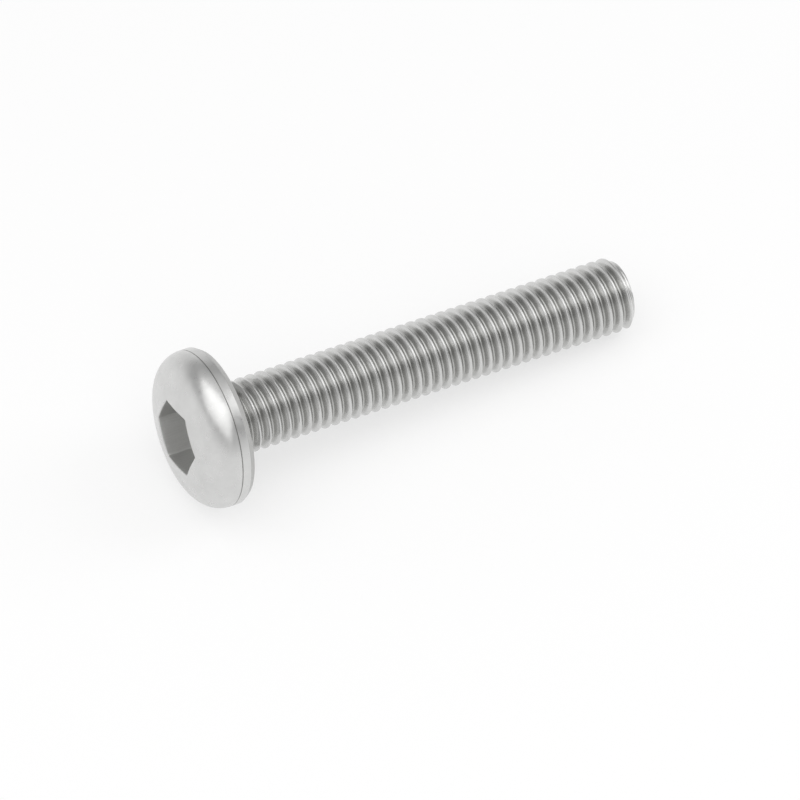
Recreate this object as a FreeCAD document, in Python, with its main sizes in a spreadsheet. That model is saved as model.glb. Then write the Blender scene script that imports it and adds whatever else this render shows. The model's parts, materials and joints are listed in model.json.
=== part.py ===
"""Button head screw, M10 x 60, with a hexagon socket: one cold-formed piece of steel.

The screw is drawn along its own X axis: the bearing face under the head is at x = 0, the head
lies on the minus side and the shank on the plus side. Its Placement then lays it down as it
rests on a table, on the edge of its rim and on the end of its thread, with +Z up.
"""
import FreeCAD, Part
import math
import os
import Sketcher

NODE = "button_head_screw"

# Driving dimensions in millimetres and degrees: name, value, what it is
SIZES = [
    ("head_diameter", 21.7, "diameter of the cylindrical band round the head"),
    ("head_height", 6.84, "bearing face to the top of the crown, as if it had no socket"),
    ("shoulder_radius", 3.6, "round between the crown and the band"),
    ("band_width", 1.2, "length of the cylindrical band"),
    ("underside_chamfer_length", 0.82, "length along the axis of the chamfer under the band"),
    ("bearing_diameter", 20.6, "outside diameter of the bearing face"),
    ("fillet_radius", 0.4, "fillet between the bearing face and the neck"),
    ("neck_diameter", 9.03, "plain neck of the rolled blank, as wide as the pitch diameter"),
    ("neck_length", 1.5, "bearing face to the end of the neck"),
    ("neck_taper_length", 0.6, "rise from the neck to the first crest of the thread"),
    ("thread_diameter", 10.0, "major diameter of the thread"),
    ("screw_length", 60.0, "bearing face to the end of the point"),
    ("point_diameter", 8.3, "flat end of the point"),
    ("point_length", 0.83, "length of the chamfer at the point"),
    ("socket_width", 9.0, "hexagon socket across its flats"),
    ("socket_depth", 4.4, "top of the crown to the flat rim of the socket's floor"),
    ("socket_turn", 46.0, "turn of the socket's first corner about the axis"),
    ("drill_diameter", 7.8, "pilot hole that leaves the cone in the socket's floor"),
    ("drill_depth", 1.2, "depth of that cone below the floor's rim"),
]
HEXAGON_SIDES = 6
HALF_SIDE_ANGLE = math.pi / HEXAGON_SIDES

# Sketcher's own numbers for a curve's points, and for a sketch's axes and origin
START = 1
END = 2
CENTRE = 3
X_AXIS = -1
ORIGIN = (-1, 1)
FULL_TURN = 360

size = {name: value for name, value, _ in SIZES}


def vector(x, y):
    return FreeCAD.Vector(x, y, 0)


def make_sheet(doc):
    """The spreadsheet that holds every driving dimension."""
    sheet = doc.addObject("Spreadsheet::Sheet", "sizes")
    for row, (name, value, meaning) in enumerate(SIZES, start=1):
        sheet.set(f"A{row}", meaning)
        sheet.set(f"B{row}", str(value))
        sheet.setAlias(f"B{row}", name)
    doc.recompute()


def new_sketch(body, name, role):
    """A sketch on one of the body's own origin planes."""
    plane = next(f for f in body.Origin.OriginFeatures if f.Role == role)
    sketch = body.newObject("Sketcher::SketchObject", name)
    sketch.AttachmentSupport = [(plane, "")]
    sketch.MapMode = "FlatFace"
    return sketch


def line(sketch, start, end, construction=False):
    return sketch.addGeometry(Part.LineSegment(vector(*start), vector(*end)), construction)


def arc(sketch, centre, radius, first, last):
    circle = Part.Circle(vector(*centre), FreeCAD.Vector(0, 0, 1), radius)
    return sketch.addGeometry(Part.ArcOfCircle(circle, first, last), False)


def relate(sketch, kind, *where):
    sketch.addConstraint(Sketcher.Constraint(kind, *where))


def dimension(sketch, name, formula, kind, *where, drawn=1):
    """A named dimension of the sketch. A formula on the sheet replaces its value as drawn."""
    index = sketch.addConstraint(Sketcher.Constraint(kind, *where, drawn))
    sketch.renameConstraint(index, name)
    sketch.setExpression("Constraints." + name, formula)


def draw_half_section(body):
    """Half of the screw's section, from the top of the crown round to the end of the point."""
    rim = size["head_diameter"] / 2
    bearing = size["bearing_diameter"] / 2
    neck = size["neck_diameter"] / 2
    thread = size["thread_diameter"] / 2
    point = size["point_diameter"] / 2
    fillet = size["fillet_radius"]
    shoulder = size["shoulder_radius"]
    top = -size["head_height"]
    band_end = -size["underside_chamfer_length"]
    band_start = band_end - size["band_width"]
    neck_end = size["neck_length"]
    thread_start = neck_end + size["neck_taper_length"]
    tip = size["screw_length"]
    thread_end = tip - size["point_length"]

    # The crown's centre is on the axis and its arc runs into the shoulder's without a corner.
    inset = rim - shoulder
    rise = band_start - top
    crown = (inset**2 + rise**2 - shoulder**2) / (2 * (rise - shoulder))
    meeting = math.pi - math.asin(inset / (crown - shoulder))

    sketch = new_sketch(body, "half_section", "XZ_Plane")
    crown_arc = arc(sketch, (top + crown, 0), crown, meeting, math.pi)
    shoulder_arc = arc(sketch, (band_start, inset), shoulder, math.pi / 2, meeting)
    band = line(sketch, (band_start, rim), (band_end, rim))
    underside = line(sketch, (band_end, rim), (0, bearing))
    bearing_face = line(sketch, (0, bearing), (0, neck + fillet))
    fillet_arc = arc(sketch, (fillet, neck + fillet), fillet, math.pi, 3 * math.pi / 2)
    neck_line = line(sketch, (fillet, neck), (neck_end, neck))
    taper = line(sketch, (neck_end, neck), (thread_start, thread))
    thread_line = line(sketch, (thread_start, thread), (thread_end, thread))
    chamfer = line(sketch, (thread_end, thread), (tip, point))
    end_face = line(sketch, (tip, point), (tip, 0))
    axis = line(sketch, (tip, 0), (top, 0))

    relate(sketch, "Tangent", crown_arc, START, shoulder_arc, END)
    relate(sketch, "Tangent", shoulder_arc, START, band, START)
    relate(sketch, "Tangent", bearing_face, END, fillet_arc, START)
    relate(sketch, "Tangent", fillet_arc, END, neck_line, START)
    corners = [band, underside, bearing_face]
    corners_along = [neck_line, taper, thread_line, chamfer, end_face, axis]
    for chain in (corners, corners_along):
        for before, after in zip(chain, chain[1:]):
            relate(sketch, "Coincident", before, END, after, START)
    relate(sketch, "Coincident", axis, END, crown_arc, END)
    relate(sketch, "PointOnObject", crown_arc, CENTRE, X_AXIS)
    relate(sketch, "PointOnObject", axis, START, X_AXIS)
    relate(sketch, "PointOnObject", axis, END, X_AXIS)
    relate(sketch, "Vertical", bearing_face, START, *ORIGIN)
    for level in (band, neck_line, thread_line):
        relate(sketch, "Horizontal", level)
    for upright in (bearing_face, end_face):
        relate(sketch, "Vertical", upright)

    along = [
        ("head_height", "sizes.head_height", axis, END, *ORIGIN),
        ("band_width", "sizes.band_width", band, START, band, END),
        ("underside_length", "sizes.underside_chamfer_length", band, END, *ORIGIN),
        ("neck_length", "sizes.neck_length", *ORIGIN, neck_line, END),
        ("taper_length", "sizes.neck_taper_length", taper, START, taper, END),
        ("screw_length", "sizes.screw_length", *ORIGIN, end_face, END),
        ("point_length", "sizes.point_length", chamfer, START, chamfer, END),
    ]
    for name, formula, *where in along:
        dimension(sketch, name, formula, "DistanceX", *where)
    across = [
        ("head_radius", "sizes.head_diameter / 2", band, START),
        ("bearing_radius", "sizes.bearing_diameter / 2", bearing_face, START),
        ("neck_radius", "sizes.neck_diameter / 2", neck_line, END),
        ("thread_radius", "sizes.thread_diameter / 2", thread_line, START),
        ("point_radius", "sizes.point_diameter / 2", end_face, START),
    ]
    for name, formula, *where in across:
        dimension(sketch, name, formula, "DistanceY", *ORIGIN, *where)
    dimension(sketch, "shoulder_radius", "sizes.shoulder_radius", "Radius", shoulder_arc)
    dimension(sketch, "fillet_radius", "sizes.fillet_radius", "Radius", fillet_arc)
    return sketch


def turn_blank(body, sketch):
    """The head and the shank, turned about the screw's axis."""
    blank = body.newObject("PartDesign::Revolution", "blank")
    blank.Profile = sketch
    blank.ReferenceAxis = (sketch, ["H_Axis"])
    blank.Angle = FULL_TURN
    return blank


def draw_hexagon(body):
    """The socket's hexagon, across the axis at the top of the crown."""
    sketch = new_sketch(body, "socket_hexagon", "YZ_Plane")
    sketch.setExpression("AttachmentOffset.Base.z", "-sizes.head_height")
    corner_radius = size["socket_width"] / 2 / math.cos(HALF_SIDE_ANGLE)
    turn = math.radians(size["socket_turn"])
    corners = []
    for index in range(HEXAGON_SIDES):
        angle = turn + 2 * HALF_SIDE_ANGLE * index
        corners.append((corner_radius * math.cos(angle), corner_radius * math.sin(angle)))
    sides = [
        line(sketch, corner, corners[(index + 1) % HEXAGON_SIDES])
        for index, corner in enumerate(corners)
    ]
    circle = sketch.addGeometry(
        Part.Circle(vector(0, 0), FreeCAD.Vector(0, 0, 1), corner_radius), True
    )
    spoke = line(sketch, (0, 0), corners[0], construction=True)
    for index, side in enumerate(sides):
        relate(sketch, "Coincident", side, END, sides[(index + 1) % HEXAGON_SIDES], START)
        relate(sketch, "PointOnObject", side, START, circle)
    for side in sides[1:]:
        relate(sketch, "Equal", sides[0], side)
    relate(sketch, "Coincident", circle, CENTRE, *ORIGIN)
    relate(sketch, "Coincident", spoke, START, *ORIGIN)
    relate(sketch, "Coincident", spoke, END, sides[0], START)
    across_corners = f"sizes.socket_width / cos(180 deg / {HEXAGON_SIDES})"
    dimension(sketch, "corner_diameter", across_corners, "Diameter", circle, drawn=2 * corner_radius)
    dimension(sketch, "socket_turn", "sizes.socket_turn * 1 deg", "Angle", spoke, drawn=turn)
    return sketch


def punch_socket(body, sketch):
    """The hexagon socket, straight down from the crown to the flat rim of its floor."""
    socket = body.newObject("PartDesign::Pocket", "socket")
    socket.Profile = sketch
    socket.Type = "Length"
    socket.setExpression("Length", "sizes.socket_depth")
    socket.Reversed = True
    return socket


def draw_floor_cone(body):
    """Half of the cone that the pilot drill leaves in the socket's floor."""
    sketch = new_sketch(body, "floor_cone_section", "XZ_Plane")
    floor = size["socket_depth"] - size["head_height"]
    drill = size["drill_diameter"] / 2
    deepest = floor + size["drill_depth"]
    rim = line(sketch, (floor, 0), (floor, drill))
    slope = line(sketch, (floor, drill), (deepest, 0))
    axis = line(sketch, (deepest, 0), (floor, 0))
    relate(sketch, "Coincident", rim, END, slope, START)
    relate(sketch, "Coincident", slope, END, axis, START)
    relate(sketch, "Coincident", axis, END, rim, START)
    relate(sketch, "Vertical", rim)
    relate(sketch, "PointOnObject", axis, START, X_AXIS)
    relate(sketch, "PointOnObject", axis, END, X_AXIS)
    floor_formula = "sizes.head_height - sizes.socket_depth"
    cone_formula = "sizes.drill_depth"
    drill_formula = "sizes.drill_diameter / 2"
    dimension(sketch, "floor", floor_formula, "DistanceX", rim, START, *ORIGIN)
    dimension(sketch, "drill_depth", cone_formula, "DistanceX", axis, END, axis, START)
    dimension(sketch, "drill_radius", drill_formula, "DistanceY", rim, START, rim, END)
    return sketch


def drill_floor(body, sketch):
    cone = body.newObject("PartDesign::Groove", "floor_cone")
    cone.Profile = sketch
    cone.ReferenceAxis = (sketch, ["H_Axis"])
    cone.Angle = FULL_TURN
    return cone


def lay_down(body):
    """Tip the screw about the bearing face's centre until rim and thread touch one plane."""
    drop = "(sizes.head_diameter - sizes.thread_diameter) / 2"
    run = "(sizes.screw_length - sizes.point_length + sizes.underside_chamfer_length)"
    tilt = f"atan({drop} / {run})"
    body.setExpression(
        "Placement", f"create(<<placement>>; vector(0; 0; 0); rotation(vector(0; 1; 0); {tilt}))"
    )


def check(doc, before_socket, after_socket):
    """Stop if any object failed, or if the socket removed nothing."""
    for item in doc.Objects:
        if "Invalid" in item.State or "Error" in item.State:
            raise RuntimeError(f"{item.Name} failed: {item.State}")
    if not after_socket < before_socket:
        raise RuntimeError("the socket cuts nothing")


def main():
    doc = FreeCAD.newDocument("screw")
    make_sheet(doc)
    body = doc.addObject("PartDesign::Body", NODE)
    body.Label = NODE
    blank = turn_blank(body, draw_half_section(body))
    doc.recompute()
    socket = punch_socket(body, draw_hexagon(body))
    doc.recompute()
    cone = drill_floor(body, draw_floor_cone(body))
    lay_down(body)
    doc.recompute()
    check(doc, blank.Shape.Volume, socket.Shape.Volume)
    check(doc, socket.Shape.Volume, cone.Shape.Volume)
    shape = body.Shape
    if shape.isNull() or not shape.isValid():
        raise RuntimeError(f"{NODE} has no valid shape")
    os.makedirs("parts", exist_ok=True)
    shape.exportStep(f"parts/{NODE}.step")
    print(NODE, "volume", round(shape.Volume, 2), "mm3, box", shape.BoundBox)


main()
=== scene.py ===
"""A button head screw on a plain pale stage. Its rolled thread and its socket are real form, and
its stainless steel has the finish that each step of its making leaves.

The screw is drawn along its own X axis, with the bearing face under the head at zero, the head on
the minus side and the shank on the plus side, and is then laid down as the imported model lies.
"""
import json
import math

import bmesh
import bpy
import numpy as np
from mathutils import Matrix, Vector


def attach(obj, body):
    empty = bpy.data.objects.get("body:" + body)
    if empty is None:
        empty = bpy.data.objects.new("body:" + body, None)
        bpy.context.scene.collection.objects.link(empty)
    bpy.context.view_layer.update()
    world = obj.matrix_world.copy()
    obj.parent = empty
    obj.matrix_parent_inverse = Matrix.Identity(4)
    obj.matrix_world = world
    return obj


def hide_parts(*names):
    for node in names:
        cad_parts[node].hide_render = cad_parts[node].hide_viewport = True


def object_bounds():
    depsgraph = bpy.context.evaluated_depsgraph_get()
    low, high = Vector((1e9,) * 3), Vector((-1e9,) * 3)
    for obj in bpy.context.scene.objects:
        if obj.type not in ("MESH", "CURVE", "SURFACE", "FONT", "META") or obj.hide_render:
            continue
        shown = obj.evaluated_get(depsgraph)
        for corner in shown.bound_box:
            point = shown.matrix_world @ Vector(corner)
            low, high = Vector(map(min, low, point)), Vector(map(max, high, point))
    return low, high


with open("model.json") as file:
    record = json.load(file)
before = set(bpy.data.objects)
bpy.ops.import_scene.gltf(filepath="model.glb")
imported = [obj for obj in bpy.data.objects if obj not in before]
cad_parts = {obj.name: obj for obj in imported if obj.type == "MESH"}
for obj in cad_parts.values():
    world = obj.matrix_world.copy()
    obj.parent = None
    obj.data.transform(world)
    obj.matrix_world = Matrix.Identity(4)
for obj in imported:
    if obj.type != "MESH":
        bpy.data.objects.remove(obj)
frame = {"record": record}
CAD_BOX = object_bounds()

bl_info = {
    "name": "Button head screw",
    "version": (1, 0, 0),
    "blender": (4, 5, 0),
    "location": "3D View > Sidebar > Screw",
    "description": "A button head screw with a rolled metric thread, on a plain pale stage",
    "category": "Object",
}

NODE = "button_head_screw"
MM = 0.001
MICRON = 0.000001
TURN = 2 * math.pi
QUARTER = TURN / 4
SIXTH = TURN / 6

# The bearing face's mount gives the way that the screw points as it lies.
MOUNTS = {mount["name"]: mount for mount in frame["record"]["mounts"]}
AXIS = Vector(MOUNTS["bearing_face"]["axis"]).normalized()
ACROSS = Vector((0, 1, 0))
LAID_DOWN = Matrix((AXIS, ACROSS, AXIS.cross(ACROSS))).transposed().to_4x4()

# The section of a metric thread, with 60 degrees between flanks. Its lengths are in pitches.
FLANK_SLOPE = math.sqrt(3)
HALF_CREST = 1 / 16  # half of a crest's flat
HALF_ROOT = 1 / 8  # half of a root's round
ROOT_SHADE_START, ROOT_SHADE_WHOLE = 0.1, 0.25  # where the painted shade on a flank begins and is whole, from the crest's edge

# How closely the rows and columns of the mesh follow each form.
SIDE_STEPS = 20  # columns along a side of the hexagon
CONE_PARTS = (0, 0.15, 0.4, 0.7, 1)  # shares of the radius of the cone in the socket's floor
FLOOR_PARTS = (0.02, 0.5, 1)  # shares of the way from that cone to the socket's walls
FOOT_STEPS = 3
WALL_STEPS = 6
LIP_STEPS = 4
CROWN_STEPS = 5
SHOULDER_STEPS = 18
EDGE_STEPS = 4
FILLET_STEPS = 5
NECK_STEPS = 3
END_PARTS = (1, 0.96, 0.6, 0.25, 0)  # shares of the radius of the point's flat end
FOOT_ROUND = 0.12 * MM  # between the socket's walls and its floor
FIRST_CIRCLE = 6.4 * MM  # radius at which the rows round the hexagon have become circles
WELD_DISTANCE = 0.2 * MICRON
SHARP_ANGLE = math.radians(35)

# Material numbers of the mesh, one for each way that a part of the screw was made.
HEADED, PUNCHED, ROLLED, SHEARED, PRESSED = range(5)

# The colours of a Mix node, by number, because its other sockets have the same names.
MIX_A, MIX_B, MIX_RESULT = 6, 7, 2
SMOOTH = {"interpolation_type": "SMOOTHSTEP"}  # a change of values that eases in and out
NOISE_RANGE = (0.3, 0.7)  # where nearly all values of a noise lie

FLOOR_RADIUS = 2.0
FLOOR_SIDES = 96
FLOOR_MIDDLE = 0.026  # along X, under the middle of the screw
EVEN_WHITE = 0.6  # share of plain white in what the camera and the steel see of the floor
SKY = ((0.0, 0.95), (0.6, 0.40), (1.0, 0.85))  # height in the sky, and the light's strength there
CAMERA_DISTANCE = 0.5


def linear(hex_colour):
    """An sRGB hex colour as linear red, green and blue, with full alpha."""
    channels = [int(hex_colour[i : i + 2], 16) / 255 for i in (1, 3, 5)]
    return [c / 12.92 if c <= 0.04045 else ((c + 0.055) / 1.055) ** 2.4 for c in channels] + [1.0]


# What a user may change


def length(name, description, millimetres):
    return bpy.props.FloatProperty(
        name=name,
        description=description,
        default=millimetres * MM,
        min=0,
        unit="LENGTH",
        precision=5,
    )


def angle(name, description, degrees):
    return bpy.props.FloatProperty(
        name=name, description=description, default=math.radians(degrees), unit="ROTATION"
    )


def colour(name, description, hex_colour):
    return bpy.props.FloatVectorProperty(
        name=name, description=description, default=linear(hex_colour), size=4, subtype="COLOR"
    )


def share(name, description, default):
    return bpy.props.FloatProperty(
        name=name, description=description, default=default, min=0, max=1, subtype="FACTOR"
    )


def power(name, description, watts):
    return bpy.props.FloatProperty(
        name=name, description=description, default=watts, min=0, unit="POWER"
    )


class ScrewSizes(bpy.types.PropertyGroup):
    """Sizes of the screw, along and across its own axis"""

    head_diameter: length("Head diameter", "Across the band round the head", 21.7)
    head_height: length("Head height", "Bearing face to the top of the unbroken crown", 6.84)
    shoulder_radius: length("Shoulder radius", "Round between the crown and the band", 3.6)
    band_width: length("Band width", "Length of the band along the axis", 1.2)
    underside_length: length("Underside chamfer", "Length of the chamfer under the band", 0.82)
    bearing_diameter: length("Bearing diameter", "Outside of the bearing face", 20.6)
    fillet_radius: length("Fillet radius", "Between the bearing face and the neck", 0.4)
    neck_diameter: length("Neck diameter", "Plain part of the rolled blank", 9.03)
    neck_length: length("Neck length", "Bearing face to the first trace of the thread", 1.5)
    run_out: length("Run-out", "Length over which the thread grows to its full depth", 1.3)
    thread_diameter: length("Thread diameter", "Over the crests", 10.0)
    pitch: length("Pitch", "From one crest to the next", 1.5)
    crest_round: length("Crest round", "Small round on both edges of a crest", 0.06)
    first_crest: length("First crest", "Bearing face to a crest straight above the axis", 6.385)
    screw_length: length("Length", "Bearing face to the end of the point", 60.0)
    point_diameter: length("Point diameter", "Flat end of the point", 8.3)
    point_length: length("Point length", "Chamfer at the point", 0.83)
    socket_width: length("Socket width", "Across the flats of the hexagon", 9.0)
    socket_depth: length("Socket depth", "Top of the crown to the flat rim of the floor", 4.4)
    socket_turn: angle("Socket turn", "Turn of the socket's first corner about the axis", 46.0)
    socket_corner: length("Socket corner", "Round in the corners of the hexagon", 0.25)
    socket_lip: length("Socket lip", "Round on the edge of the socket's mouth", 0.14)
    drill_diameter: length("Drill diameter", "Cone in the socket's floor", 7.8)
    drill_depth: length("Drill depth", "Depth of that cone", 1.2)
    edge_round: length("Edge round", "Small round that tumbling leaves on outer edges", 0.1)
    die_line_width: length("Die line width", "Fine line where punch and die met", 0.2)
    die_line_depth: length("Die line depth", "Depth of that line", 0.08)


class SteelFinish(bpy.types.PropertyGroup):
    """Colour, painted shade and polish of the stainless steel"""

    steel: colour("Steel", "Clean bright steel", "#DADAD9")
    worn: colour("Shaded steel", "Slightly darker patches, as tumbling leaves them", "#C9C9C8")
    # partly painted shade: this colour keeps the underside, under the head, darker than the head,
    # besides the die's duller finish
    pressed: colour("Underside", "Dull steel that lay against the die", "#A6A6A4")
    lubricant: colour("Socket stain", "Thin film of forming lubricant in the socket", "#C8C8C6")
    # painted shade: this colour darkens the thread's roots, where the rolling oil also stays
    root_shade: colour("Root film", "Oil that stays in the roots of the thread", "#B6B6B4")
    # painted shade: this colour darkens the line round the rim where punch and die met, where oil
    # also stays
    line_shade: colour("Line film", "Oil that stays in the line round the rim", "#949492")
    head_roughness: share("Head roughness", "Tumbled satin", 0.3)
    thread_roughness: share("Thread roughness", "Flanks burnished by the rolling dies", 0.22)
    socket_roughness: share("Socket roughness", "Walls dragged by the punch", 0.46)
    pressed_roughness: share("Underside roughness", "Face that lay against the die", 0.4)
    end_roughness: share("End roughness", "Flat end sheared from the wire", 0.42)


class StageSettings(bpy.types.PropertyGroup):
    """Floor, light and camera"""

    floor: colour("Floor", "White matt paper", "#FFFFFF")
    key_light: power("Key light", "Large soft lamp above the head", 1.15)
    fill_light: power("Fill light", "Smaller soft lamp on the point's side", 0.4)
    azimuth: angle("Azimuth", "Camera's turn round the screw, from straight in front", -27.293)
    elevation: angle("Elevation", "Camera's height above the horizon", 50.56)
    view_width: length("View width", "Width of what the camera sees", 105.68)
    aim_right: length("Aim right", "Image centre, right of the bearing face's centre", 23.976)
    aim_up: length("Aim up", "Image centre, above the bearing face's centre", 3.17)


# The screw's form


def steps(start, end, count):
    """Even steps from one value to another, without the first value."""
    return np.linspace(start, end, count + 1)[1:]


def column_angles(size):
    """Angles of the mesh's columns, from the socket's first corner. They stand closer together
    where a corner is round."""
    apothem = size.socket_width / 2
    side_end = math.atan((apothem - size.socket_corner) / apothem * math.tan(SIXTH / 2))
    corner = SIXTH / 2 - side_end
    side = np.linspace(corner, SIXTH - corner, SIDE_STEPS + 1)
    one_side = np.concatenate(([0, corner / 2], side, [SIXTH - corner / 2]))
    return np.concatenate([one_side + k * SIXTH for k in range(6)])


def circle(angles, place, radius):
    """A row of the mesh, which is a place along the axis and a radius for each column. In this
    one they are the same all round."""
    return np.full_like(angles, place), np.full_like(angles, radius)


def hexagon(angles, apothem, corner):
    """Distance from the axis to a hexagon with round corners, at angles from its first corner."""
    off = np.abs(angles % SIXTH - SIXTH / 2)
    inner = apothem - corner
    centre = inner / math.cos(SIXTH / 2)
    aside = SIXTH / 2 - off
    reach = np.sqrt(np.maximum(corner**2 - (centre * np.sin(aside)) ** 2, 0))
    on_side = apothem * np.tan(off) <= inner * math.tan(SIXTH / 2)
    return np.where(on_side, apothem / np.cos(off), centre * np.cos(aside) + reach)


def crown_radius(size):
    """Radius of the crown's arc, which runs into the shoulder's arc without a corner."""
    inset = size.head_diameter / 2 - size.shoulder_radius
    rise = size.head_height - size.underside_length - size.band_width
    return (inset**2 + rise**2 - size.shoulder_radius**2) / (2 * (rise - size.shoulder_radius))


def crown_place(size, radius):
    """Place along the axis of the crown's surface at a distance from the axis."""
    crown = crown_radius(size)
    return crown - size.head_height - np.sqrt(crown**2 - radius**2)


def socket_rows(size, angles):
    """Rows from the cone in the socket's floor up its walls to the mouth's lip."""
    apothem, corner, lip = size.socket_width / 2, size.socket_corner, size.socket_lip
    floor = size.socket_depth - size.head_height
    drill = size.drill_diameter / 2
    level = np.full_like(angles, floor)
    rows = []
    for part in CONE_PARTS:
        rows.append(circle(angles, floor + size.drill_depth * (1 - part), drill * part))
    inside = hexagon(angles, apothem - FOOT_ROUND, corner - FOOT_ROUND)
    for part in FLOOR_PARTS:
        rows.append((level, drill + (inside - drill) * part))
    for bend in steps(0, QUARTER, FOOT_STEPS):
        gap = FOOT_ROUND * (1 - math.sin(bend))
        place = level - FOOT_ROUND * (1 - math.cos(bend))
        rows.append((place, hexagon(angles, apothem - gap, corner - gap)))
    wall = hexagon(angles, apothem, corner)
    mouth = crown_place(size, hexagon(angles, apothem + lip, corner + lip))
    low, high = level - FOOT_ROUND, mouth + lip
    for part in steps(0, 1, WALL_STEPS):
        rows.append((low + (high - low) * part, wall))
    for bend in steps(0, QUARTER, LIP_STEPS):
        gap = lip * (1 - math.cos(bend))
        place = mouth + lip * (1 - math.sin(bend))
        rows.append((place, hexagon(angles, apothem + gap, corner + gap)))
    return rows


def rounded(corners, radius):
    """A chain of straight runs with its inner corners rounded, as (along, out) points."""
    points = [corners[0]]
    for before, here, after in zip(corners, corners[1:], corners[2:]):
        here = Vector(here)
        back, onward = (Vector(before) - here).normalized(), (Vector(after) - here).normalized()
        half = back.angle(onward) / 2
        reach = radius / math.tan(half)
        centre = here + (back + onward).normalized() * radius / math.sin(half)
        start, end = here + back * reach - centre, here + onward * reach - centre
        for k in range(EDGE_STEPS + 1):
            way = start.slerp(end, k / EDGE_STEPS)
            points.append(tuple(centre + way.normalized() * radius))
    points.append(corners[-1])
    return points


def band_and_underside(size):
    """Points along the band, the chamfer under it and the bearing face, with their edges rounded:
    those up to the middle of the band's lower edge, and those from there on."""
    rim = size.head_diameter / 2
    band_end = -size.underside_length
    corners = [
        (band_end - size.band_width, rim),
        (band_end, rim),
        (0, size.bearing_diameter / 2),
        (0, size.neck_diameter / 2 + size.fillet_radius),
    ]
    points = rounded(corners, size.edge_round)
    middle = 1 + EDGE_STEPS // 2
    return points[1 : middle + 1], points[middle:]


def head_rows(size, angles):
    """Rows from the socket's lip over the crown, the shoulder and the band to its lower edge."""
    rim = size.head_diameter / 2
    shoulder = size.shoulder_radius
    inset = rim - shoulder
    band_start = -size.underside_length - size.band_width
    crown = crown_radius(size)
    meeting = math.asin(inset / (crown - shoulder))
    lip = size.socket_lip
    mouth = hexagon(angles, size.socket_width / 2 + lip, size.socket_corner + lip)
    rows = []
    for part in steps(0, 1, CROWN_STEPS):
        radius = mouth + (FIRST_CIRCLE - mouth) * part
        rows.append((crown_place(size, radius), radius))
    for radius in steps(FIRST_CIRCLE, crown * math.sin(meeting), CROWN_STEPS):
        rows.append(circle(angles, crown_place(size, radius), radius))
    line = size.die_line_width / 2
    for bend in steps(meeting, math.acos(line / shoulder), SHOULDER_STEPS):
        place = band_start - shoulder * math.cos(bend)
        rows.append(circle(angles, place, inset + shoulder * math.sin(bend)))
    rows.append(circle(angles, band_start, rim - size.die_line_depth))
    rows.append(circle(angles, band_start + line, rim))
    band_edge, _ = band_and_underside(size)
    rows += [circle(angles, place, radius) for place, radius in band_edge]
    return rows


def underside_rows(size, angles):
    """Rows from the band's lower edge over the chamfer, the bearing face and its fillet along the
    neck."""
    neck = size.neck_diameter / 2
    fillet = size.fillet_radius
    _, underside = band_and_underside(size)
    rows = [circle(angles, place, radius) for place, radius in underside]
    for bend in steps(0, QUARTER, FILLET_STEPS):
        radius = neck + fillet * (1 - math.sin(bend))
        rows.append(circle(angles, fillet * (1 - math.cos(bend)), radius))
    for place in steps(fillet, size.neck_length, NECK_STEPS):
        rows.append(circle(angles, place, neck))
    return rows


def flank_places(size):
    """Places on the thread's section, from the middle of a crest: where the crest's small round
    starts, where the flank starts, and where the root's round starts."""
    start = size.pitch * HALF_CREST - size.crest_round * math.tan(SIXTH / 2)
    flank = start + size.crest_round * math.sin(SIXTH)
    return start, flank, size.pitch / 2 - size.pitch * HALF_ROOT


def thread_section(size, from_crest):
    """Radius of the full thread at a distance along the axis from the middle of a crest."""
    round_start, flank_start, root_start = flank_places(size)
    top = size.thread_diameter / 2
    crest = size.pitch * HALF_CREST
    root_round = size.pitch * HALF_ROOT / math.cos(SIXTH / 2)
    sharp_root = top - FLANK_SLOPE * (size.pitch / 2 - crest)
    root_centre = sharp_root + 2 * root_round
    off = np.abs(from_crest)
    aside = np.clip(off - round_start, 0, size.crest_round)
    radius = top - size.crest_round + np.sqrt(size.crest_round**2 - aside**2)
    radius = np.where(off > flank_start, top - FLANK_SLOPE * (off - crest), radius)
    deep = np.clip(size.pitch / 2 - off, 0, root_round)
    return np.where(off > root_start, root_centre - np.sqrt(root_round**2 - deep**2), radius)


def thread_offsets(size):
    """Places of the thread's rows within one pitch, from the middle of a crest."""
    marks = [*flank_places(size), size.pitch / 2]
    half = []
    for here, after in zip(marks, marks[1:]):
        half += [here, (here + after) / 2]
    return [-place for place in reversed(half)] + half + [size.pitch / 2]


def thread_rows(size, angles):
    """Rows that climb with the thread, from the end of the neck to the end of the point. A row's
    points past either end lie on that end's ring, so that every column starts and ends there."""
    start, end = size.neck_length, size.screw_length
    neck, top = size.neck_diameter / 2, size.thread_diameter / 2
    point_slope = (top - size.point_diameter / 2) / size.point_length
    # The first crest is given straight above the axis, a quarter turn from the frame's zero.
    crest = size.first_crest + size.pitch * (size.socket_turn - QUARTER + angles) / TURN
    offsets = thread_offsets(size)
    turns = math.ceil(end / size.pitch) + 1
    places = [crest + k * size.pitch + offset for k in range(-turns, turns) for offset in offsets]
    # Only rows that have a point between the two ends are kept.
    places = [place for place in places if place.max() > start and place.min() < end]
    first, last = np.full_like(angles, start), np.full_like(angles, end)
    places = [first] * len(offsets) + places + [last] * (len(offsets) + 1)
    rows = []
    for place in places:
        place = np.clip(place, start, end)
        from_crest = (place - crest + size.pitch / 2) % size.pitch - size.pitch / 2
        grown = np.clip((place - start) / size.run_out, 0, 1)
        grown = grown * grown * (3 - 2 * grown)
        radius = neck + (thread_section(size, from_crest) - neck) * grown
        past_point = np.maximum(place - end + size.point_length, 0)
        rows.append((place, np.minimum(radius, top - past_point * point_slope)))
    return rows


def quads_between(row_count, columns, climbs):
    """Quads of a grid whose points are numbered row by row. The last column meets the first one
    as many rows further on as the grid climbs in a turn."""
    quads = []
    for row in range(row_count - 1 - climbs):
        for column in range(columns):
            here = row * columns + column
            beside = here + 1 if column < columns - 1 else (row + climbs) * columns
            quads.append((here, here + columns, beside + columns, beside))
    return quads


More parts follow.
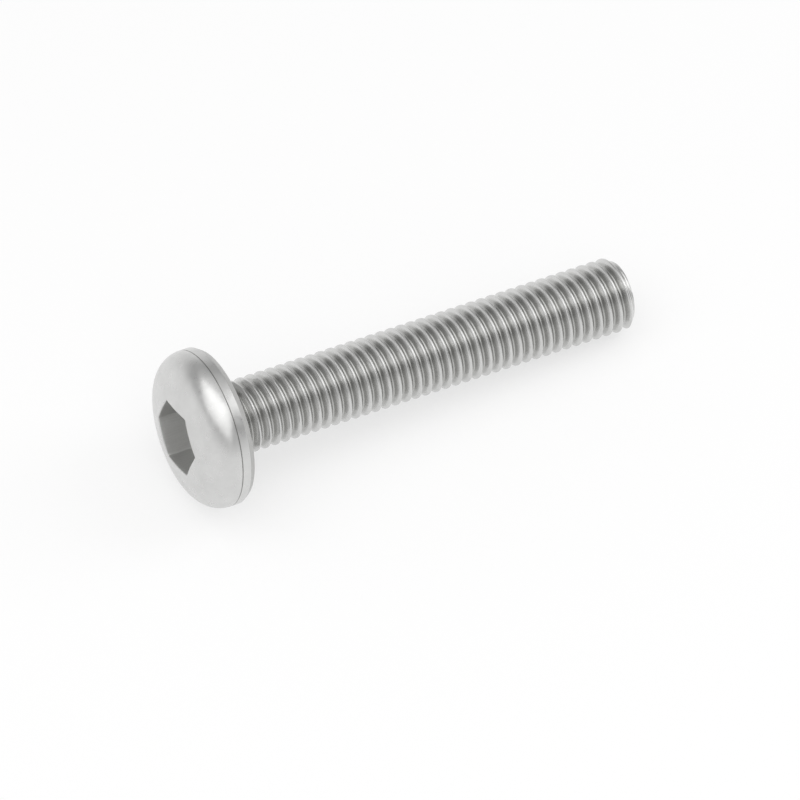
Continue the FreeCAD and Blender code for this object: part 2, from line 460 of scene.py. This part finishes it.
def points_of(rows, around):
    """Points of rows in the screw's own frame, whose columns stand at angles round the axis."""
    blocks = [
        np.column_stack((place, radius * np.cos(around), radius * np.sin(around)))
        for place, radius in rows
    ]
    return np.vstack(blocks)


def weld(mesh):
    """Join the points that lie in one place, drop what that flattens, and face all outwards."""
    form = bmesh.new()
    form.from_mesh(mesh)
    bmesh.ops.remove_doubles(form, verts=form.verts, dist=WELD_DISTANCE)
    bmesh.ops.dissolve_degenerate(form, edges=form.edges, dist=WELD_DISTANCE)
    bmesh.ops.recalc_face_normals(form, faces=form.faces)
    open_edges = sum(not edge.is_manifold for edge in form.edges)
    if open_edges:
        raise RuntimeError(f"the screw's mesh has {open_edges} open edges")
    form.to_mesh(mesh)
    form.free()
    mesh.shade_smooth()
    mesh.set_sharp_from_angle(angle=SHARP_ANGLE)


def screw_mesh(size):
    """The whole screw as one closed mesh, with a material number for each way that it was made."""
    angles = column_angles(size)
    columns = len(angles)
    socket = socket_rows(size, angles)
    thread = thread_rows(size, angles)
    end_place, end_radius = thread[-1]
    blocks = (
        (PUNCHED, socket, 0),
        (HEADED, socket[-1:] + head_rows(size, angles), 0),
        (PRESSED, underside_rows(size, angles), 0),
        (ROLLED, thread, len(thread_offsets(size))),
        (SHEARED, [(end_place, end_radius * part) for part in END_PARTS], 0),
    )
    points, faces, kinds = [], [], []
    made = 0
    for kind, rows, climbs in blocks:
        points.append(points_of(rows, angles + size.socket_turn))
        quads = quads_between(len(rows), columns, climbs)
        faces += [tuple(made + corner for corner in quad) for quad in quads]
        kinds += [kind] * len(quads)
        made += len(rows) * columns
    mesh = bpy.data.meshes.new(NODE + "_form")
    mesh.from_pydata(np.vstack(points), [], faces)
    mesh.polygons.foreach_set("material_index", kinds)
    mesh.transform(LAID_DOWN)
    weld(mesh)
    return mesh


# The steel


def add_node(tree, kind, inputs=None, **settings):
    """Add a node with its settings, set or link its inputs, and return its outputs. Inputs that
    share a name are given by number."""
    made = tree.nodes.new(kind)
    for name, value in settings.items():
        setattr(made, name, value)
    for name, value in (inputs or {}).items():
        if isinstance(value, bpy.types.NodeSocket):
            tree.links.new(value, made.inputs[name])
        else:
            made.inputs[name].default_value = value
    return made.outputs


def empty_tree(owner):
    """The node tree of a material or a world, with nothing in it yet."""
    owner.use_nodes = True
    owner.node_tree.nodes.clear()
    return owner.node_tree


def per_metre(millimetres):
    """A pattern's scale, from the real size of one of its features."""
    return 1 / (millimetres * MM)


def steel_material(name):
    """A new material, its node tree, and a place on the screw's own axes."""
    material = bpy.data.materials.new(name)
    tree = empty_tree(material)
    dip = math.atan2(AXIS.z, AXIS.x)
    lying = {"Vector": add_node(tree, "ShaderNodeTexCoord")["Object"], "Rotation": (0, dip, 0)}
    place = add_node(tree, "ShaderNodeMapping", lying, vector_type="POINT")["Vector"]
    return material, tree, place


def along_and_out(tree, place):
    """Distance along the screw's axis and distance out from it."""
    parts = add_node(tree, "ShaderNodeSeparateXYZ", {"Vector": place})
    flat = add_node(tree, "ShaderNodeCombineXYZ", {"Y": parts["Y"], "Z": parts["Z"]})["Vector"]
    out = add_node(tree, "ShaderNodeVectorMath", {0: flat}, operation="LENGTH")["Value"]
    return parts["X"], out


def turned_marks(tree, place, spacing, wander, wander_size):
    """Fine marks that run round the screw's axis, with all sizes in millimetres. As they wander,
    they start and end on their way round. They are drawn as coarse as they need to show."""
    soft = {"Vector": place, "Scale": per_metre(wander_size), "Detail": 2.0}
    wandering = {0: add_node(tree, "ShaderNodeTexNoise", soft)["Fac"], 1: wander * MM}
    aside = add_node(tree, "ShaderNodeMath", wandering, operation="MULTIPLY")["Value"]
    along, out = along_and_out(tree, place)
    turned = {"X": along, "Y": out, "Z": aside}
    turned = add_node(tree, "ShaderNodeCombineXYZ", turned)["Vector"]
    fine = {"Vector": turned, "Scale": per_metre(spacing), "Detail": 2.0}
    return add_node(tree, "ShaderNodeTexNoise", fine)["Fac"]


def drawn_marks(tree, place, spacing, stretch, detail):
    """Short parallel marks that a tool has drawn out, with their spacing in millimetres. stretch
    is smallest on the axis that they run along. They are drawn as coarse as they need to show."""
    drawn = {"Vector": place, "Scale": stretch}
    drawn = add_node(tree, "ShaderNodeMapping", drawn, vector_type="POINT")["Vector"]
    fine = {"Vector": drawn, "Scale": per_metre(spacing), "Detail": detail, "Roughness": 0.6}
    return add_node(tree, "ShaderNodeTexNoise", fine)["Fac"]


def die_line(tree, place, size):
    """How far a spot on the rim lies in the line between punch and die, which painted shade
    darkens: 1 in the line's middle, 0 beside it."""
    along = add_node(tree, "ShaderNodeSeparateXYZ", {"Vector": place})["X"]
    middle = size.underside_length + size.band_width
    off = add_node(tree, "ShaderNodeMath", {0: along, 1: middle}, operation="ADD")["Value"]
    off = add_node(tree, "ShaderNodeMath", {0: off}, operation="ABSOLUTE")["Value"]
    beside, inside = size.die_line_width / 2, size.die_line_width / 5
    depth = {"Value": off, "From Min": beside, "From Max": inside}
    return add_node(tree, "ShaderNodeMapRange", depth, **SMOOTH)["Result"]


def painted_root_shade(tree, place, size):
    """How much of the painted shade there is, which darkens the roots where the rolling oil also
    stays: all of it in the roots, none on the crests, the neck and the point's chamfer."""
    along, out = along_and_out(tree, place)
    crest = size.thread_diameter / 2
    slope = FLANK_SLOPE * size.pitch
    end = size.screw_length - size.point_length
    root_darkening = 1.0
    for value, none, whole in (
        (out, crest - slope * ROOT_SHADE_START, crest - slope * ROOT_SHADE_WHOLE),
        (along, size.neck_length, size.neck_length + size.run_out),
        (along, end, end - size.point_length),
    ):
        root_darkening = {"Value": value, "From Min": none, "From Max": whole, "To Max": root_darkening}
        root_darkening = add_node(tree, "ShaderNodeMapRange", root_darkening, **SMOOTH)["Result"]
    return root_darkening


def finish(tree, tint, roughness, relief, film=None):
    """Bare steel with a tint between two colours, a roughness between two values, and layers of
    relief, each with its height in microns. The film is painted shade that darkens the steel: a
    colour and how much of it there is."""
    low, high, part = tint
    colours = {"Factor": part, MIX_A: low, MIX_B: high}
    seen = add_node(tree, "ShaderNodeMix", colours, data_type="RGBA")[MIX_RESULT]
    if film:
        shade_colour, part = film
        colours = {"Factor": part, MIX_A: seen, MIX_B: shade_colour}
        seen = add_node(tree, "ShaderNodeMix", colours, data_type="RGBA")[MIX_RESULT]
    low, high, part = roughness
    least, most = NOISE_RANGE
    spread = {"Value": part, "From Min": least, "From Max": most, "To Min": low, "To Max": high}
    surface = {
        "Base Color": seen,
        "Metallic": 1.0,
        "Roughness": add_node(tree, "ShaderNodeMapRange", spread)["Result"],
    }
    for height, microns in relief:
        bump = {"Height": height, "Distance": microns * MICRON, "Strength": 1.0}
        if "Normal" in surface:
            bump["Normal"] = surface["Normal"]
        surface["Normal"] = add_node(tree, "ShaderNodeBump", bump)["Normal"]
    shader = add_node(tree, "ShaderNodeBsdfPrincipled", surface)["BSDF"]
    add_node(tree, "ShaderNodeOutputMaterial", {"Surface": shader})


def headed_steel(look, size):
    """Stainless steel, cold headed and tumbled: an even satin with soft dents, which are drawn as
    coarse as they need to show, faint rings where the heading die was turned, and painted shade
    that darkens the line where punch and die met."""
    material, tree, place = steel_material("stainless_steel_cold_headed_and_tumbled")
    rings = turned_marks(tree, place, spacing=0.22, wander=0.4, wander_size=3.0)
    uneven = {"Vector": place, "Scale": per_metre(2.6), "Detail": 2.0}
    patches = add_node(tree, "ShaderNodeTexNoise", uneven)["Fac"]
    tumbled = {"Vector": place, "Scale": per_metre(0.9), "Detail": 1.0}
    dents = add_node(tree, "ShaderNodeTexNoise", tumbled)["Fac"]
    finish(
        tree,
        tint=(look.worn, look.steel, patches),
        roughness=(look.head_roughness * 0.88, look.head_roughness * 1.15, dents),
        relief=((rings, 2.0), (dents, 14.0)),
        # painted shade: the die line round the rim is coloured darker
        film=(look.line_shade, die_line(tree, place, size)),
    )
    return material


def punched_steel(look):
    """Stainless steel, punched: drag marks run down the walls, and a thin film of forming
    lubricant leaves the depth of the socket a little darker."""
    material, tree, place = steel_material("stainless_steel_punched_socket")
    drag = drawn_marks(tree, place, spacing=0.16, stretch=(0.05, 1, 1), detail=2.0)
    pitted = {"Vector": place, "Scale": per_metre(0.3), "Detail": 2.0}
    dents = add_node(tree, "ShaderNodeTexNoise", pitted)["Fac"]
    finish(
        tree,
        tint=(look.lubricant, look.steel, drag),
        roughness=(look.socket_roughness * 0.8, look.socket_roughness * 1.2, dents),
        relief=((drag, 3.5), (dents, 2.5)),
    )
    return material


def pressed_steel(look):
    """Stainless steel, pressed against the flat face of the die: duller than the head, because
    tumbling reaches it less, with the die's fine turned rings. Its darker colour is partly
    painted shade under the head."""
    material, tree, place = steel_material("stainless_steel_pressed_underside")
    rings = turned_marks(tree, place, spacing=0.2, wander=0.3, wander_size=2.4)
    grained = {"Vector": place, "Scale": per_metre(0.5), "Detail": 2.0}
    dents = add_node(tree, "ShaderNodeTexNoise", grained)["Fac"]
    finish(
        tree,
        # partly painted shade: the underside's colour is darker than the head's
        tint=(look.pressed, look.worn, rings),
        roughness=(look.pressed_roughness * 0.85, look.pressed_roughness * 1.15, dents),
        relief=((rings, 3.0), (dents, 3.5)),
    )
    return material


def rolled_steel(look, size):
    """Stainless steel, thread rolled: flanks burnished bright by the dies, with fine marks that
    follow the thread round, and roots darkened by painted shade, where rolling oil also stays."""
    material, tree, place = steel_material("stainless_steel_thread_rolled")
    marks = turned_marks(tree, place, spacing=0.12, wander=0.25, wander_size=1.6)
    uneven = {"Vector": place, "Scale": per_metre(1.8), "Detail": 2.0}
    patches = add_node(tree, "ShaderNodeTexNoise", uneven)["Fac"]
    rubbed = {"Vector": place, "Scale": per_metre(0.25), "Detail": 2.0}
    dents = add_node(tree, "ShaderNodeTexNoise", rubbed)["Fac"]
    finish(
        tree,
        tint=(look.worn, look.steel, patches),
        roughness=(look.thread_roughness * 0.8, look.thread_roughness * 1.35, marks),
        relief=((marks, 1.2), (dents, 1.8)),
        # painted shade: the thread's roots are coloured darker
        film=(look.root_shade, painted_root_shade(tree, place, size)),
    )
    return material


def sheared_steel(look):
    """Stainless steel, sheared from the wire: the flat end keeps the shear's short parallel
    tears and is duller than the rest."""
    material, tree, place = steel_material("stainless_steel_sheared_end")
    tears = drawn_marks(tree, place, spacing=0.14, stretch=(1, 0.12, 1), detail=3.0)
    grained = {"Vector": place, "Scale": per_metre(0.4), "Detail": 2.0}
    dents = add_node(tree, "ShaderNodeTexNoise", grained)["Fac"]
    finish(
        tree,
        tint=(look.worn, look.steel, tears),
        roughness=(look.end_roughness * 0.8, look.end_roughness * 1.2, dents),
        relief=((tears, 6.0), (dents, 4.0)),
    )
    return material


# The stage


def stage_floor(stage):
    """A matt white sheet that the screw lies on. What the camera and the steel see of it is kept
    near white, and it still takes the screw's shadow. From below it is clear, so that the screw's
    underside can be looked at."""
    material = bpy.data.materials.new("matt_white_paper")
    tree = empty_tree(material)
    paper = add_node(tree, "ShaderNodeBsdfDiffuse", {"Color": stage.floor})["BSDF"]
    glow = add_node(tree, "ShaderNodeEmission", {"Color": stage.floor, "Strength": 1.0})
    ray = add_node(tree, "ShaderNodeLightPath")
    seen = ray["Is Camera Ray"]
    for other in ("Is Glossy Ray", "Is Transmission Ray"):
        either = {0: seen, 1: ray[other]}
        seen = add_node(tree, "ShaderNodeMath", either, operation="MAXIMUM")["Value"]
    even = {0: seen, 1: EVEN_WHITE}
    even = add_node(tree, "ShaderNodeMath", even, operation="MULTIPLY")["Value"]
    mixed = {0: even, 1: paper, 2: glow["Emission"]}
    above = add_node(tree, "ShaderNodeMixShader", mixed)["Shader"]
    clear = add_node(tree, "ShaderNodeBsdfTransparent")["BSDF"]
    from_below = add_node(tree, "ShaderNodeNewGeometry")["Backfacing"]
    sheet = add_node(tree, "ShaderNodeMixShader", {0: from_below, 1: above, 2: clear})["Shader"]
    add_node(tree, "ShaderNodeOutputMaterial", {"Surface": sheet})

    bpy.ops.mesh.primitive_circle_add(
        vertices=FLOOR_SIDES,
        radius=FLOOR_RADIUS,
        fill_type="NGON",
        location=(FLOOR_MIDDLE, 0, CAD_BOX[0].z),
    )
    floor = bpy.context.object
    floor.name = "floor"
    floor.data.materials.append(material)


def studio_world():
    """Soft white light from all round: strong at the horizon, weaker half way up and strong again
    overhead. The camera sees plain white."""
    world = bpy.data.worlds.new("studio")
    tree = empty_tree(world)
    place = add_node(tree, "ShaderNodeTexCoord")["Generated"]
    height = add_node(tree, "ShaderNodeSeparateXYZ", {"Vector": place})["Z"]
    level = SKY[0][1]
    for (start, _), (end, strength) in zip(SKY, SKY[1:]):
        span = {"Value": height, "From Min": start, "From Max": end}
        span |= {"To Min": level, "To Max": strength}
        level = add_node(tree, "ShaderNodeMapRange", span, **SMOOTH)["Result"]
    white = linear("#FFFFFF")
    light = add_node(tree, "ShaderNodeBackground", {"Color": white, "Strength": level})
    plain = add_node(tree, "ShaderNodeBackground", {"Color": white, "Strength": 1.0})
    camera = add_node(tree, "ShaderNodeLightPath")["Is Camera Ray"]
    both = {0: camera, 1: light["Background"], 2: plain["Background"]}
    seen = add_node(tree, "ShaderNodeMixShader", both)["Shader"]
    add_node(tree, "ShaderNodeOutputWorld", {"Surface": seen})
    bpy.context.scene.world = world


def soft_lamp(name, watts, place, wide, high):
    """A rectangular softbox that points at the screw's middle, from a place measured from it."""
    data = bpy.data.lights.new(name, "AREA")
    data.shape = "RECTANGLE"
    data.energy = watts
    data.size, data.size_y = wide, high
    lamp = bpy.data.objects.new(name, data)
    bpy.context.scene.collection.objects.link(lamp)
    middle = (CAD_BOX[0] + CAD_BOX[1]) / 2
    lamp.location = middle + Vector(place)
    lamp.rotation_euler = (-Vector(place)).to_track_quat("-Z", "Y").to_euler()


def make_camera(stage):
    """An orthographic camera, so that the screw's parallel lines stay parallel."""
    azimuth, elevation = stage.azimuth, stage.elevation
    level = math.cos(elevation)
    back = Vector((math.sin(azimuth) * level, -math.cos(azimuth) * level, math.sin(elevation)))
    right = Vector((math.cos(azimuth), math.sin(azimuth), 0))
    up = back.cross(right)
    data = bpy.data.cameras.new("camera")
    data.type = "ORTHO"
    data.ortho_scale = stage.view_width
    data.clip_start, data.clip_end = 0.01, 10
    camera = bpy.data.objects.new("camera", data)
    bpy.context.scene.collection.objects.link(camera)
    camera.location = right * stage.aim_right + up * stage.aim_up + back * CAMERA_DISTANCE
    camera.rotation_euler = (-back).to_track_quat("-Z", "Y").to_euler()
    bpy.context.scene.camera = camera


# The add-on


class SCREW_OT_make_screw(bpy.types.Operator):
    """Make the screw's form from its sizes and give it its steel"""

    bl_idname = "screw.make_screw"
    bl_label = "Make screw"

    def execute(self, context):
        scene = context.scene
        size, look = scene.screw_sizes, scene.steel_finish
        mesh = screw_mesh(size)
        # The steels stand in the order of the mesh's material numbers.
        for steel in (
            headed_steel(look, size),
            punched_steel(look),
            rolled_steel(look, size),
            sheared_steel(look),
            pressed_steel(look),
        ):
            mesh.materials.append(steel)
        screw = bpy.data.objects.new("threaded_screw", mesh)
        scene.collection.objects.link(screw)
        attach(screw, "root")
        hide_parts(NODE)
        return {"FINISHED"}


class SCREW_OT_make_stage(bpy.types.Operator):
    """Make the floor, the soft light and the camera"""

    bl_idname = "screw.make_stage"
    bl_label = "Make stage"

    def execute(self, context):
        stage = context.scene.stage_settings
        stage_floor(stage)
        studio_world()
        soft_lamp("key_softbox", stage.key_light, place=(-0.18, -0.12, 0.42), wide=0.8, high=0.55)
        soft_lamp("fill_softbox", stage.fill_light, place=(0.36, -0.1, 0.3), wide=0.25, high=0.4)
        make_camera(stage)
        context.scene.view_settings.view_transform = "Standard"
        return {"FINISHED"}


class SCREW_PT_panel(bpy.types.Panel):
    """Sizes, finish and stage of the screw"""

    bl_idname = "SCREW_PT_panel"
    bl_label = "Button head screw"
    bl_space_type = "VIEW_3D"
    bl_region_type = "UI"
    bl_category = "Screw"

    def draw(self, context):
        scene = context.scene
        for group, operator in (
            (scene.screw_sizes, SCREW_OT_make_screw),
            (scene.steel_finish, None),
            (scene.stage_settings, SCREW_OT_make_stage),
        ):
            box = self.layout.box()
            for name in group.__annotations__:
                box.prop(group, name)
            if operator:
                box.operator(operator.bl_idname)


GROUPS = {"screw_sizes": ScrewSizes, "steel_finish": SteelFinish, "stage_settings": StageSettings}
CLASSES = (*GROUPS.values(), SCREW_OT_make_screw, SCREW_OT_make_stage, SCREW_PT_panel)


def register():
    for made in CLASSES:
        bpy.utils.register_class(made)
    for name, group in GROUPS.items():
        setattr(bpy.types.Scene, name, bpy.props.PointerProperty(type=group))


def unregister():
    for name in GROUPS:
        delattr(bpy.types.Scene, name)
    for made in reversed(CLASSES):
        bpy.utils.unregister_class(made)


def main():
    register()
    bpy.ops.screw.make_screw()
    bpy.ops.screw.make_stage()


if __name__ == "__main__":
    main()
